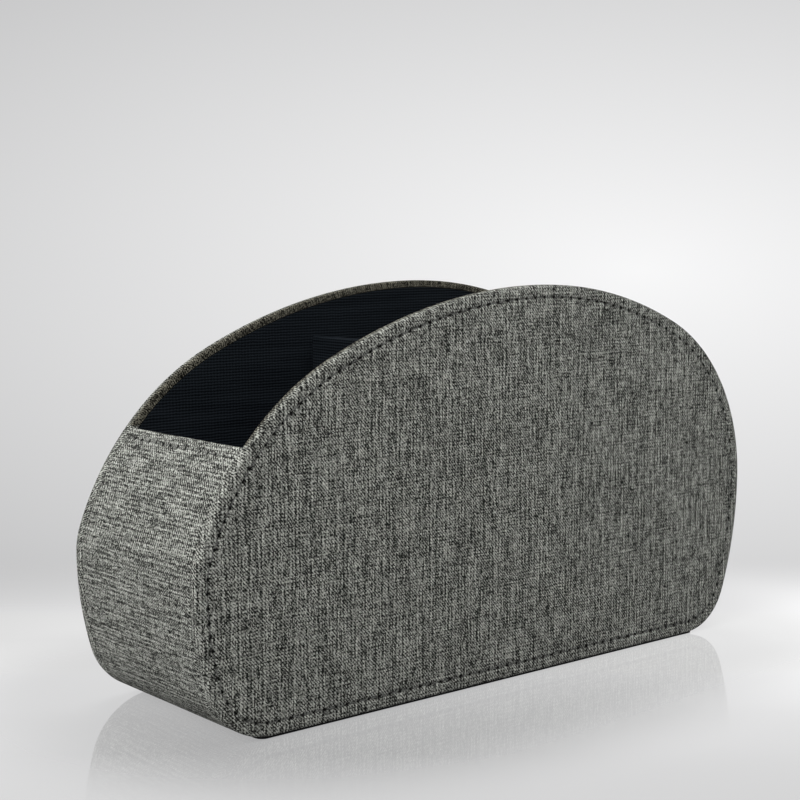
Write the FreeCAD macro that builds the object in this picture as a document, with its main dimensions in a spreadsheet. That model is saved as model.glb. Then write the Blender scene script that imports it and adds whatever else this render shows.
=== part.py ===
# Holder for remote controls: two egg-shaped side panels of cloth-covered board, joined by a
# strip that forms the low end, the floor and the high end, with dividers across the inside.
# X runs along the holder from its low end, Y across it from the front panel, Z up from the
# surface it stands on. All sizes are in millimetres.

import FreeCAD, Part
import math
import os
import Sketcher

V = FreeCAD.Vector
doc = FreeCAD.newDocument("remote_holder")

# Driving sizes. Heights are above the underside of the panels, lengths from the low end.

SIZES = {
    "length": 240,
    "width": 69,
    "height": 130,
    # the outline of the side panels: where it is longest and where it is highest
    "low_widest_height": 47.2,
    "high_widest_height": 55.8,
    "peak_from_low_end": 136.5,
    # its radii below the ends' widest points and just above the low one
    "toe_radius": 20.5,
    "high_side_radius": 120,
    "low_shoulder_radius": 24.5,
    "low_side_radius": 111,
    "heel_radius": 22.5,
    # how many degrees its upper arcs turn through, where their radii follow from that
    "high_shoulder_turn": 65,
    "crown_turn": 26,
    "low_shoulder_turn": 19,
    # boards and cloth
    "cover_cloth": 0.8,
    "lining_cloth": 0.6,
    "panel_board": 2.2,
    "end_board": 1.8,
    "base_sheet": 0.8,
    # turned edges
    "rim_bevel": 1.0,
    "rim_turn": 2.2,
    "mouth_round": 1.2,
    "mouth_turn": 9,
    # how many degrees above level each end wall's mouth lies, from its arc's centre
    "low_mouth_angle": 40.5,
    "high_mouth_angle": 27.9,
    # the channels that the sewn rows pull into the cloth, near the rims and the mouths
    "rim_seam_inset": 3.6,
    "mouth_seam_drop": 3.4,
    "seam_width": 1.0,
    "seam_depth": 0.3,
    # dividers
    "first_pocket": 52,
    "last_pocket": 70,
    "divider_board": 1.6,
    "divider_1_drop": 52,
    "divider_2_drop": 18,
    "divider_3_drop": 16,
    "divider_4_drop": 24,
    "divider_round": 0.9,
    # the sheet under the floor
    "base_overrun": 4,
    "base_inset": 1.0,
}
DIVIDERS = 4

sheet = doc.addObject("Spreadsheet::Sheet", "sizes")
for row, (word, number) in enumerate(SIZES.items(), start=1):
    sheet.set("A%d" % row, word)
    sheet.set("B%d" % row, str(number))
    sheet.setAlias("B%d" % row, word)
doc.recompute()


def size(word):
    """The number in one cell of the sheet."""
    return float(sheet.get(word))


# Lengths that follow from the driving sizes, written as the sheet's formulas.

PANEL_HEIGHT = "(sizes.height - sizes.base_sheet)"
PANEL_THICKNESS = "(sizes.cover_cloth + sizes.panel_board + sizes.lining_cloth)"
WALL_THICKNESS = "(sizes.cover_cloth + sizes.end_board + sizes.lining_cloth)"
INNER_WIDTH = "(sizes.width - 2 * %s)" % PANEL_THICKNESS
POCKET_PITCH = "((sizes.length - sizes.first_pocket - sizes.last_pocket) / %d)" % (DIVIDERS - 1)
# how far a cut reaches past the wall it goes through, and how near counts as the same place
CUT_REACH = 12
NEAR = 0.001


def corner_reach(side, corner, widest):
    """How far from an end the flat begins, where two tangent arcs lead from it to the end."""
    return "(sizes.{0} - sqrt((sizes.{0} - sizes.{1})^2 - (sizes.{2} - sizes.{1})^2))".format(
        side, corner, widest)


FLAT_FROM = corner_reach("low_side_radius", "heel_radius", "low_widest_height")
FLAT_TO = "(sizes.length - %s)" % corner_reach("high_side_radius", "toe_radius",
                                               "high_widest_height")


# The outline: nine arcs and a flat, each tangent to the next. Five radii and three turns are
# given, and the rest follows, so that it touches the ends and the top where the sheet says.

def quarter_radii(across, up, first_turn, second_turn):
    """Radii of two arcs that turn from upright to level between them.

    The first begins upright after `first_turn`, the second ends level, and together they go
    `across` and `up`.
    """
    first_across = math.cos(first_turn) - math.cos(second_turn)
    first_up = math.sin(second_turn) - math.sin(first_turn)
    last_across = math.cos(second_turn)
    last_up = 1 - math.sin(second_turn)
    share = first_across * last_up - first_up * last_across
    return ((across * last_up - up * last_across) / share,
            (up * first_across - across * first_up) / share)


def heading(start, end):
    """The angle of the line from one point to another."""
    return math.atan2(end.y - start.y, end.x - start.x)


def outline_arcs():
    """Centre, radius and both angles of each arc, from the toe round to the heel."""
    length = size("length")
    tall = size("height") - size("base_sheet")
    peak = size("peak_from_low_end")
    low_widest = size("low_widest_height")
    high_widest = size("high_widest_height")
    toe_radius = size("toe_radius")
    high_side_radius = size("high_side_radius")
    low_radius = size("low_shoulder_radius")
    low_side_radius = size("low_side_radius")
    heel_radius = size("heel_radius")
    high_turn = math.radians(size("high_shoulder_turn"))
    crown_turn = math.radians(size("crown_turn"))
    low_turn = math.radians(size("low_shoulder_turn"))

    # above the high end: the shoulder, then the fall from the peak
    high_radius, fall_radius = quarter_radii(length - peak, tall - high_widest, 0, high_turn)
    high_shoulder = V(length - high_radius, high_widest)
    fall = V(peak, tall - fall_radius)

    # above the low end: the shoulder, the slope and the crown up to the peak
    slope_radius, crown_radius = quarter_radii(
        peak - low_radius * (1 - math.cos(low_turn)),
        tall - low_widest - low_radius * math.sin(low_turn),
        low_turn, math.pi / 2 - crown_turn)
    low_shoulder = V(low_radius, low_widest)
    slope = low_shoulder + V(math.cos(low_turn), -math.sin(low_turn)) * (slope_radius - low_radius)
    crown = V(peak, tall - crown_radius)

    # below both ends: the side and the corner that leads to the flat
    high_side = V(length - high_side_radius, high_widest)
    toe_reach = math.sqrt((high_side_radius - toe_radius)**2 - (high_widest - toe_radius)**2)
    toe = V(high_side.x + toe_reach, toe_radius)
    low_side = V(low_side_radius, low_widest)
    heel_reach = math.sqrt((low_side_radius - heel_radius)**2 - (low_widest - heel_radius)**2)
    heel = V(low_side.x - heel_reach, heel_radius)

    angles = [-math.pi / 2, heading(high_side, toe), 0, high_turn, math.pi / 2,
              math.pi / 2 + crown_turn, math.pi - low_turn, math.pi,
              2 * math.pi + heading(low_side, heel), 1.5 * math.pi]
    centres = [toe, high_side, high_shoulder, fall, crown, slope, low_shoulder, low_side, heel]
    radii = [toe_radius, high_side_radius, high_radius, fall_radius, crown_radius, slope_radius,
             low_radius, low_side_radius, heel_radius]
    return list(zip(centres, radii, angles, angles[1:]))


def draw_side_outline():
    """The master sketch that every panel, wall and lining follows."""
    sketch = doc.addObject("Sketcher::SketchObject", "side_outline")
    places = outline_arcs()
    flat_start = V(places[-1][0].x, 0)
    flat_end = V(places[0][0].x, 0)
    flat = sketch.addGeometry(Part.LineSegment(flat_start, flat_end), False)
    arcs = []
    for centre, radius, first, last in places:
        circle = Part.Circle(centre, V(0, 0, 1), radius)
        arcs.append(sketch.addGeometry(Part.ArcOfCircle(circle, first, last), False))
    toe, high_side, high_shoulder, fall, crown, slope, low_shoulder, low_side, heel = arcs

    chain = [flat] + arcs
    for this, following in zip(chain, chain[1:] + chain[:1]):
        sketch.addConstraint(Sketcher.Constraint("Tangent", this, 2, following, 1))
    sketch.addConstraint(Sketcher.Constraint("PointOnObject", flat, 1, -1))
    sketch.addConstraint(Sketcher.Constraint("Horizontal", flat))
    sketch.addConstraint(Sketcher.Constraint("PointOnObject", low_shoulder, 2, -2))
    sketch.addConstraint(Sketcher.Constraint("Horizontal", low_shoulder, 3, low_shoulder, 2))
    sketch.addConstraint(Sketcher.Constraint("Vertical", crown, 3, crown, 1))
    sketch.addConstraint(Sketcher.Constraint("Horizontal", high_shoulder, 3, high_shoulder, 1))

    def dimension(kind, formula, value, *where):
        index = sketch.addConstraint(Sketcher.Constraint(kind, *where, value))
        sketch.setExpression("Constraints[%d]" % index, formula)

    def reading(name, kind, value, *where):
        index = sketch.addConstraint(Sketcher.Constraint(kind, *where, value))
        sketch.setDriving(index, False)
        sketch.renameConstraint(index, name)

    dimension("DistanceX", "sizes.length", size("length"), -1, 1, high_shoulder, 1)
    dimension("DistanceX", "sizes.peak_from_low_end", size("peak_from_low_end"), -1, 1, crown, 1)
    dimension("DistanceY", PANEL_HEIGHT, size("height") - size("base_sheet"), -1, 1, crown, 1)
    for word, arc, end_point in (("low_widest_height", low_shoulder, 2),
                                 ("high_widest_height", high_shoulder, 1)):
        dimension("DistanceY", "sizes." + word, size(word), -1, 1, arc, end_point)
    for word, arc in (("toe_radius", toe), ("high_side_radius", high_side),
                      ("low_shoulder_radius", low_shoulder), ("low_side_radius", low_side),
                      ("heel_radius", heel)):
        dimension("Radius", "sizes." + word, size(word), arc)
    for word, arc in (("high_shoulder_turn", high_shoulder), ("crown_turn", crown),
                      ("low_shoulder_turn", low_shoulder)):
        dimension("Angle", "sizes.%s * 1 deg" % word, math.radians(size(word)), arc)

    # what the mouths read back from the solved outline
    reading("slope_across", "DistanceX", 1, -1, 1, slope, 3)
    reading("slope_up", "DistanceY", 1, -1, 1, slope, 3)
    reading("slope_radius", "Radius", 1, slope)
    reading("shoulder_across", "DistanceX", 1, -1, 1, high_shoulder, 3)
    reading("shoulder_up", "DistanceY", 1, -1, 1, high_shoulder, 3)
    reading("shoulder_radius", "Radius", 1, high_shoulder)
    return sketch


outline = draw_side_outline()


# Building blocks. Each body is drawn in side view and stands upright by its Placement, so a
# pad grows from its own plane towards the front panel.

def side_body(name, inner_face="0"):
    """A body whose side view plane lies at the given place across the holder."""
    body = doc.addObject("PartDesign::Body", name)
    body.Label = name
    body.Placement = FreeCAD.Placement(V(0, 0, 0), FreeCAD.Rotation(V(1, 0, 0), 90))
    body.setExpression("Placement.Base.x", "-sizes.length / 2")
    body.setExpression("Placement.Base.y", inner_face)
    body.setExpression("Placement.Base.z", "sizes.base_sheet")
    return body


def inset_outline(body, name, inset):
    """The side outline drawn inwards by a formula, as a profile in this body."""
    profile = body.newObject("PartDesign::SubShapeBinder", name)
    profile.Relative = False
    profile.Support = [(outline, ("",))]
    profile.setExpression("Offset", "-(%s)" % inset)
    doc.recompute()
    return profile


def polygon(body, name, corners):
    """A closed sketch on the side view plane, each corner placed by two formulas."""
    plane = [part for part in body.Origin.OriginFeatures if part.Role == "XY_Plane"][0]
    sketch = body.newObject("Sketcher::SketchObject", name)
    sketch.AttachmentSupport = [(plane, "")]
    sketch.MapMode = "FlatFace"
    count = len(corners)
    turn = 2 * math.pi / count
    rough = [V(math.cos(turn * i), math.sin(turn * i)) for i in range(count)]
    lines = [sketch.addGeometry(Part.LineSegment(rough[i], rough[(i + 1) % count]), False)
             for i in range(count)]
    for this, following in zip(lines, lines[1:] + lines[:1]):
        sketch.addConstraint(Sketcher.Constraint("Coincident", this, 2, following, 1))
    for line, point, (across, up) in zip(lines, rough, corners):
        for kind, value, formula in (("DistanceX", point.x, across), ("DistanceY", point.y, up)):
            index = sketch.addConstraint(Sketcher.Constraint(kind, -1, 1, line, 1, value))
            sketch.setExpression("Constraints[%d]" % index, formula)
    doc.recompute()
    return sketch


def rectangle(body, name, left, right, bottom, top):
    return polygon(body, name, [(left, bottom), (right, bottom), (right, top), (left, top)])


def pad(body, profile, thickness, both_ways=False):
    feature = body.newObject("PartDesign::Pad", "pad")
    feature.Profile = profile
    feature.Midplane = both_ways
    feature.setExpression("Length", thickness)
    doc.recompute()
    return feature


def cut_through(body, profile):
    feature = body.newObject("PartDesign::Pocket", "cut")
    feature.Profile = profile
    feature.Type = "ThroughAll"
    feature.Midplane = True
    doc.recompute()
    return feature


def edges_where(feature, test):
    """Names of the edges of a feature that pass a test."""
    return ["Edge%d" % i for i, edge in enumerate(feature.Shape.Edges, start=1) if test(edge)]


def runs_across(edge):
    """An edge that runs straight across the holder, in a body's own axes."""
    box = edge.BoundBox
    return box.XLength < NEAR and box.YLength < NEAR


def lies_in_side_view(edge):
    return edge.BoundBox.ZLength < NEAR


def round_edges(body, feature, names, radius):
    fillet = body.newObject("PartDesign::Fillet", "round")
    fillet.Base = (feature, names)
    fillet.setExpression("Radius", radius)
    doc.recompute()
    return fillet


def without(name, base, tools):
    """The base with every tool cut out of it."""
    for tool in tools:
        rest = doc.addObject("Part::Cut", "less_" + tool.Name)
        rest.Base = base
        rest.Tool = tool
        base = rest
    base.Label = name
    doc.recompute()
    return base


nodes = []


# Side panels. Each is a stiff board inside a cover of woven cloth, which turns over the rim
# and ends a little way down the inside, where the black lining begins.

panel_inner_face = "-(sizes.width / 2 - %s)" % PANEL_THICKNESS
board_inner_face = "-(sizes.width / 2 - sizes.cover_cloth - sizes.panel_board)"

panel_blank = side_body("panel_blank", panel_inner_face)
panel_pad = pad(panel_blank, inset_outline(panel_blank, "rim_line", "0"), PANEL_THICKNESS)
rim = panel_blank.newObject("PartDesign::Chamfer", "rim")
rim.Base = (panel_pad, edges_where(panel_pad, lies_in_side_view))
rim.setExpression("Size", "sizes.rim_bevel")

front_board = side_body("front_panel_board", board_inner_face)
pad(front_board, inset_outline(front_board, "board_line", "sizes.cover_cloth"),
    "sizes.panel_board")

front_lining = side_body("front_panel_lining", panel_inner_face)
pad(front_lining, inset_outline(front_lining, "lining_line", "sizes.rim_turn"),
    "sizes.lining_cloth")

# the row of stitches along the rim pulls a shallow channel into the cover
rim_seam = side_body("rim_seam", "-(sizes.width / 2 - sizes.seam_depth)")
pad(rim_seam, inset_outline(rim_seam, "seam_outside", "sizes.rim_seam_inset"),
    "2 * sizes.seam_depth")
cut_through(rim_seam, inset_outline(rim_seam, "seam_inside",
                                    "sizes.rim_seam_inset + sizes.seam_width"))

front_cover = without("front_panel_cover", panel_blank, [front_board, front_lining, rim_seam])
front_pieces = [front_board, front_cover, front_lining]
nodes += front_pieces

for piece in front_pieces:
    twin = doc.addObject("Part::Mirroring", piece.Label.replace("front", "rear"))
    twin.Label = piece.Label.replace("front", "rear")
    twin.Source = piece
    twin.Normal = V(0, 1, 0)
    nodes.append(twin)


# End walls and floor. One strip of cloth covers the low end, runs under the floor and up
# the high end. Its mouth edges are folded over the end boards and down the inside.

MOUTH_ARCS = {"low": "slope", "high": "shoulder"}
OUTWARD = {"low": "-", "high": "+"}


def at_mouth(end, outside, below):
    """A place given by how far it lies outside an end's outline and down the wall's arc."""
    arc = "(side_outline.Constraints.%s_%%s / 1 mm)" % MOUTH_ARCS[end]
    turn = "(sizes.%s_mouth_angle - 180 / pi * (%s) / %s)" % (end, below, arc % "radius")
    reach = "(%s + %s)" % (arc % "radius", outside)
    across = "%s %s %s * cos(%s)" % (arc % "across", OUTWARD[end], reach, turn)
    up = "%s + %s * sin(%s)" % (arc % "up", reach, turn)
    return across, up


def mouth_cut(body, name, below):
    """Takes away what lies above the mouth lines, lowered along the walls by a formula."""
    outer = {end: at_mouth(end, CUT_REACH / 2, below) for end in MOUTH_ARCS}
    inner = {end: at_mouth(end, -CUT_REACH, below) for end in MOUTH_ARCS}
    clear_top = "%s + %g" % (PANEL_HEIGHT, CUT_REACH)
    corners = [outer["low"], inner["low"], inner["high"], outer["high"],
               (outer["high"][0], clear_top), (outer["low"][0], clear_top)]
    return cut_through(body, polygon(body, name, corners))


def mouth_seam(end):
    """The sewn channel that runs across an end wall under its mouth."""
    body = side_body("%s_mouth_seam" % end)
    top = "sizes.mouth_seam_drop"
    bottom = "sizes.mouth_seam_drop + sizes.seam_width"
    section = polygon(body, "section", [
        at_mouth(end, "sizes.seam_depth", bottom), at_mouth(end, "sizes.seam_depth", top),
        at_mouth(end, "-sizes.seam_depth", top), at_mouth(end, "-sizes.seam_depth", bottom)])
    pad(body, section, INNER_WIDTH, both_ways=True)
    return body


def end_strip(name, outer, inner, below):
    """A strip of wall that follows the outline between two insets, from mouth to mouth."""
    body = side_body(name)
    pad(body, inset_outline(body, "outer_face", outer), INNER_WIDTH, both_ways=True)
    cut_through(body, inset_outline(body, "inner_face", inner))
    mouth_cut(body, "mouths", below)
    return body


board_outer = "sizes.cover_cloth"
board_inner = "sizes.cover_cloth + sizes.end_board"

end_blank = end_strip("end_blank", "0", WALL_THICKNESS, "0")


def is_mouth_edge(edge):
    """An edge across the holder that lies in line with a mouth, seen from its arc's centre."""
    if not runs_across(edge):
        return False
    for end, arc in MOUTH_ARCS.items():
        centre = V(outline.getDatum(arc + "_across").Value, outline.getDatum(arc + "_up").Value)
        line = V(1, math.tan(math.radians(size("%s_mouth_angle" % end))))
        seen = edge.Vertexes[0].Point - centre
        if seen.y > 0 and abs(abs(seen.x) * line.y - seen.y) < NEAR * line.Length:
            return True
    return False


round_edges(end_blank, end_blank.Tip, edges_where(end_blank.Tip, is_mouth_edge),
            "sizes.mouth_round")

end_boards = {}
for name, left, right in (("low_end_board", FLAT_FROM, "sizes.length"),
                          ("high_end_board", "0", FLAT_TO)):
    board = end_strip(name, board_outer, board_inner, "sizes.cover_cloth")
    cut_through(board, rectangle(board, "rest_of_strip", left, right, "0", PANEL_HEIGHT))
    end_boards[name] = board

floor_board = side_body("floor_board")
pad(floor_board, rectangle(floor_board, "section", FLAT_FROM, FLAT_TO, board_outer,
                           board_inner), INNER_WIDTH, both_ways=True)

inner_lining = end_strip("end_lining", board_inner, WALL_THICKNESS, "sizes.mouth_turn")

end_pieces = [end_boards["low_end_board"], floor_board, end_boards["high_end_board"],
              inner_lining]
nodes += end_pieces
mouth_seams = [mouth_seam(end) for end in MOUTH_ARCS]
nodes.append(without("end_cover", end_blank, end_pieces + mouth_seams))


# Dividers. Four boards stand across the holder on the floor's lining, each with black cloth
# folded over its top edge. The pockets between the first and the last are evenly spaced.

for number in range(1, DIVIDERS + 1):
    middle = "sizes.first_pocket + %d * %s" % (number - 1, POCKET_PITCH)
    half_board = "sizes.divider_board / 2"
    half_cover = "(sizes.divider_board / 2 + sizes.lining_cloth)"
    cover_top = "%s - sizes.divider_%d_drop" % (PANEL_HEIGHT, number)
    board_top = "%s - sizes.lining_cloth" % cover_top
    board_left = "%s - %s" % (middle, half_board)
    board_right = "%s + %s" % (middle, half_board)
    cover_left = "%s - %s" % (middle, half_cover)
    cover_right = "%s + %s" % (middle, half_cover)

    board = side_body("divider_board_%d" % number)
    pad(board, rectangle(board, "section", board_left, board_right, WALL_THICKNESS, board_top),
        INNER_WIDTH, both_ways=True)

    cover = side_body("divider_cover_%d" % number)
    fold = polygon(cover, "fold", [
        (cover_left, WALL_THICKNESS), (board_left, WALL_THICKNESS), (board_left, board_top),
        (board_right, board_top), (board_right, WALL_THICKNESS), (cover_right, WALL_THICKNESS),
        (cover_right, cover_top), (cover_left, cover_top)])
    folded = pad(cover, fold, INNER_WIDTH, both_ways=True)
    top_line = folded.Shape.BoundBox.YMax

    def is_top_edge(edge):
        return runs_across(edge) and abs(edge.BoundBox.YMax - top_line) < NEAR

    round_edges(cover, folded, edges_where(folded, is_top_edge), "sizes.divider_round")
    nodes += [board, cover]


# Base sheet. A thin black sheet under the flat of the floor, on which the holder stands.

base_sheet = side_body("base_sheet")
pad(base_sheet, rectangle(base_sheet, "section", FLAT_FROM + " - sizes.base_overrun",
                          FLAT_TO + " + sizes.base_overrun", "-sizes.base_sheet", "0"),
    "sizes.width - 2 * sizes.base_inset", both_ways=True)
nodes.append(base_sheet)


# Every feature must have come out before anything is written.

doc.recompute()
for thing in doc.Objects:
    if "Invalid" in thing.State or "Error" in thing.State:
        raise RuntimeError("%s failed: %s" % (thing.Label, thing.State))
for node in nodes:
    if node.Shape.isNull() or not node.Shape.isValid() or not node.Shape.Solids:
        raise RuntimeError("%s has no valid solid" % node.Label)

os.makedirs("parts", exist_ok=True)
for node in nodes:
    node.Shape.exportStep("parts/%s.step" % node.Label)
    print(node.Label, len(node.Shape.Solids), "solid,", round(node.Shape.Volume), "mm3")
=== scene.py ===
import math
import bmesh
import bpy
from mathutils import Matrix, Vector
from mathutils.kdtree import KDTree


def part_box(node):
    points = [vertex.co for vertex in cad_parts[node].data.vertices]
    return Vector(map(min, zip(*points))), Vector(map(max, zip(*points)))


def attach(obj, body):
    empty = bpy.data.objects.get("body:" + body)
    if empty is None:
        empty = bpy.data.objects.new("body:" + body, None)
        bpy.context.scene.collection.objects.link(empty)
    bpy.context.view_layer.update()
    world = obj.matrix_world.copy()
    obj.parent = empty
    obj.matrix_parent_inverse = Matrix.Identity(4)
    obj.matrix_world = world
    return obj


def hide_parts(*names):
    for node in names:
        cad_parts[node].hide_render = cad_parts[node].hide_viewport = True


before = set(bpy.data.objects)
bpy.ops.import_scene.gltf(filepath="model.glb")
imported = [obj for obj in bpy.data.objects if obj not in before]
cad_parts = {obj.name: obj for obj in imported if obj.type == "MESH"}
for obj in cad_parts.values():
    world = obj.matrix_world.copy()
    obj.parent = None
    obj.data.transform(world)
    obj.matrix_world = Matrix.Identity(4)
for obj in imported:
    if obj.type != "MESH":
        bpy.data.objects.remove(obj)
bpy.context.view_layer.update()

MM = 0.001

# Room. A wide pale floor that mirrors the foot of the holder and fades into the air behind it,
# and pale air that is brightest behind the holder. They are the stage, not part of the object.

FLOOR_REACH = 4.0
VIEW_ACROSS = (0.642, 0.767)
TONES_REACH = 0.2
FLOOR_TONES = ((-0.14, 0.70), (-0.10, 0.76), (-0.06, 0.86), (-0.02, 0.99), (0.03, 1.06),
               (0.09, 0.95))
LEAN_IN_FRONT = (-0.06, -0.2)
LEAN_BEHIND = (0.025, 1.4)
FLOOR_LIT = 0.25
FLOOR_BOUNCE = 0.42
STANDS_ON = (0.100, 0.034)
MIRROR_SHARE = 0.38
MIRROR_FADE = (0.030, 0.088)
MIRROR_FRONT = (-0.15, -0.10)
FLOOR_END = (0.04, 0.17)
AIR_BRIGHT = (0.94, 0.94, 0.945, 1)
AIR_DULL = (0.54, 0.54, 0.545, 1)
AIR_MIDDLE = (0.7506, 0.6603, -0.0226)
AIR_FLATTER = 2.3
AIR_REACH = 0.62
AIR_STRENGTH = 0.38


class Wiring:
    """Short calls for adding and joining the nodes of one material."""

    def __init__(self, name, roughness, specular=0.1):
        self.material = bpy.data.materials.new(name)
        self.material.use_nodes = True
        self.nodes = self.material.node_tree.nodes
        self.links = self.material.node_tree.links
        self.surface = self.nodes["Principled BSDF"]
        self.surface.inputs["Roughness"].default_value = roughness
        self.surface.inputs["Specular IOR Level"].default_value = specular

    def put(self, socket, value):
        """Joins a socket to another node's output, or sets it to a plain value."""
        if isinstance(value, bpy.types.NodeSocket):
            self.links.new(value, socket)
        elif value is not None:
            socket.default_value = value

    def math(self, operation, *values):
        """A Math node's output."""
        node = self.nodes.new("ShaderNodeMath")
        node.operation = operation
        for socket, value in zip(node.inputs, values):
            self.put(socket, value)
        return node.outputs[0]

    def point(self, x=0.0, y=0.0, z=0.0):
        """A vector put together from three values."""
        node = self.nodes.new("ShaderNodeCombineXYZ")
        for socket, value in zip(node.inputs, (x, y, z)):
            self.put(socket, value)
        return node.outputs[0]

    def split(self, vector):
        """The three parts of a vector."""
        node = self.nodes.new("ShaderNodeSeparateXYZ")
        self.put(node.inputs[0], vector)
        return node.outputs

    def spread(self, value, low, high, to_low=0.0, to_high=1.0):
        """A value stretched from one range to another and kept inside it."""
        node = self.nodes.new("ShaderNodeMapRange")
        for socket, number in zip(node.inputs, (value, low, high, to_low, to_high)):
            self.put(socket, number)
        return node.outputs[0]

    def blend(self, share, first, second, kind='MIX'):
        """Two colours mixed by a share."""
        node = self.nodes.new("ShaderNodeMix")
        node.data_type = 'RGBA'
        node.blend_type = kind
        self.put(node.inputs["Factor"], share)
        self.put(node.inputs[6], first)
        self.put(node.inputs[7], second)
        return node.outputs[2]

    def shader(self, kind, **settings):
        """A shader node with its sockets joined or set, by their names."""
        node = self.nodes.new("ShaderNode" + kind)
        for socket, value in settings.items():
            self.put(node.inputs[socket], value)
        return node.outputs[0]

    def mix(self, share, first, second):
        """Two shaders mixed by a share."""
        node = self.nodes.new("ShaderNodeMixShader")
        for socket, value in zip(node.inputs, (share, first, second)):
            self.put(socket, value)
        return node.outputs[0]


def pale_floor():
    """A pale floor with a painted soft band of light, lighter to the right behind the holder. It
    mirrors the holder near its foot, and fades into the air behind it."""
    w = Wiring("pale_floor", 0.6, 0.0)
    x, y, _ = w.split(w.nodes.new("ShaderNodeTexCoord").outputs["Object"])
    back = w.math('ADD', w.math('MULTIPLY', x, VIEW_ACROSS[0]),
                  w.math('MULTIPLY', y, VIEW_ACROSS[1]))
    right = w.math('SUBTRACT', w.math('MULTIPLY', x, VIEW_ACROSS[1]),
                   w.math('MULTIPLY', y, VIEW_ACROSS[0]))
    band = w.nodes.new("ShaderNodeValToRGB")
    band.color_ramp.interpolation = 'CARDINAL'
    stops = band.color_ramp.elements
    while len(stops) < len(FLOOR_TONES):
        stops.new(0.5)
    for stop, (distance, tone) in zip(stops, FLOOR_TONES):
        stop.position = (distance + TONES_REACH) / (2 * TONES_REACH)
        stop.color = (tone, tone, tone * 1.006, 1)
    w.put(band.inputs["Fac"], w.spread(back, -TONES_REACH, TONES_REACH))
    slope = w.spread(back, LEAN_IN_FRONT[0], LEAN_BEHIND[0], LEAN_IN_FRONT[1], LEAN_BEHIND[1])
    lean = w.math('ADD', w.math('MULTIPLY', right, slope), 1.0)
    tone = w.blend(1.0, band.outputs["Color"], w.point(lean, lean, lean), 'MULTIPLY')
    w.put(w.surface.inputs["Base Color"],
          w.blend(1.0, tone, (FLOOR_BOUNCE, FLOOR_BOUNCE, FLOOR_BOUNCE, 1), 'MULTIPLY'))
    path = w.nodes.new("ShaderNodeLightPath")
    shown = w.math('MAXIMUM', path.outputs["Is Camera Ray"], path.outputs["Is Glossy Ray"])
    # Painted light: to the camera and in reflections the floor is mostly a flat glow of its
    # painted tone, which softens the holder's shadow; the lit share keeps the shadow.
    ground = w.mix(w.math('MULTIPLY', shown, 1 - FLOOR_LIT), w.surface.outputs[0],
                   w.shader("Emission", Color=tone))
    sides = [w.math('MAXIMUM', w.math('SUBTRACT', w.math('ABSOLUTE', along), reach), 0.0)
             for along, reach in zip((x, y), STANDS_ON)]
    away = w.math('SQRT', w.math('ADD', w.math('MULTIPLY', sides[0], sides[0]),
                                 w.math('MULTIPLY', sides[1], sides[1])))
    polish = w.spread(away, *MIRROR_FADE, MIRROR_SHARE, 0.0)
    polish.node.interpolation_type = 'SMOOTHSTEP'
    polish = w.math('MULTIPLY', polish, w.spread(back, *MIRROR_FRONT))
    ground = w.mix(polish, ground, w.shader("BsdfAnisotropic", Roughness=0.03))
    gone = w.spread(back, *FLOOR_END)
    gone.node.interpolation_type = 'SMOOTHSTEP'
    ground = w.mix(w.math('MULTIPLY', gone, path.outputs["Is Camera Ray"]), ground,
                   w.shader("BsdfTransparent"))
    w.put(w.nodes["Material Output"].inputs["Surface"], ground)
    return w.material


bpy.ops.object.select_all(action='DESELECT')
bpy.ops.mesh.primitive_circle_add(vertices=96, radius=FLOOR_REACH, fill_type='NGON')
floor = bpy.context.object
floor.name = "floor"
floor.data.materials.append(pale_floor())

world = bpy.data.worlds.new("pale_air")
bpy.context.scene.world = world
world.use_nodes = True
nodes, links = world.node_tree.nodes, world.node_tree.links
lit = nodes["Background"]
lit.inputs["Color"].default_value = (1, 1, 1, 1)
lit.inputs["Strength"].default_value = AIR_STRENGTH
seen = nodes.new("ShaderNodeBackground")
seen.inputs["Strength"].default_value = 1
heading = nodes.new("ShaderNodeTexCoord")
away = nodes.new("ShaderNodeVectorMath")
away.operation = 'SUBTRACT'
away.inputs[1].default_value = AIR_MIDDLE
links.new(heading.outputs["Generated"], away.inputs[0])
flattened = nodes.new("ShaderNodeVectorMath")
flattened.operation = 'MULTIPLY'
flattened.inputs[1].default_value = (1, 1, AIR_FLATTER)
links.new(away.outputs["Vector"], flattened.inputs[0])
distance = nodes.new("ShaderNodeVectorMath")
distance.operation = 'LENGTH'
links.new(flattened.outputs["Vector"], distance.inputs[0])
fade = nodes.new("ShaderNodeMapRange")
fade.inputs["From Min"].default_value = AIR_REACH
fade.inputs["From Max"].default_value = 0.0
links.new(distance.outputs["Value"], fade.inputs["Value"])
glow = nodes.new("ShaderNodeMix")
glow.data_type = 'RGBA'
glow.inputs[6].default_value = AIR_DULL
glow.inputs[7].default_value = AIR_BRIGHT
links.new(fade.outputs["Result"], glow.inputs["Factor"])
links.new(glow.outputs[2], seen.inputs["Color"])
path = nodes.new("ShaderNodeLightPath")
shown = nodes.new("ShaderNodeMath")
shown.operation = 'MAXIMUM'
links.new(path.outputs["Is Camera Ray"], shown.inputs[0])
links.new(path.outputs["Is Glossy Ray"], shown.inputs[1])
either = nodes.new("ShaderNodeMixShader")
links.new(shown.outputs["Value"], either.inputs["Fac"])
links.new(lit.outputs["Background"], either.inputs[1])
links.new(seen.outputs["Background"], either.inputs[2])
links.new(either.outputs["Shader"], nodes["World Output"].inputs["Surface"])


# Lamps. A broad soft lamp above the low end gives the end wall and the rims their light, one
# behind lights the crown and the rear panel, and a weak one hangs close above the front panel,
# which is lighter at the top. None of them shows in the floor.

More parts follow.
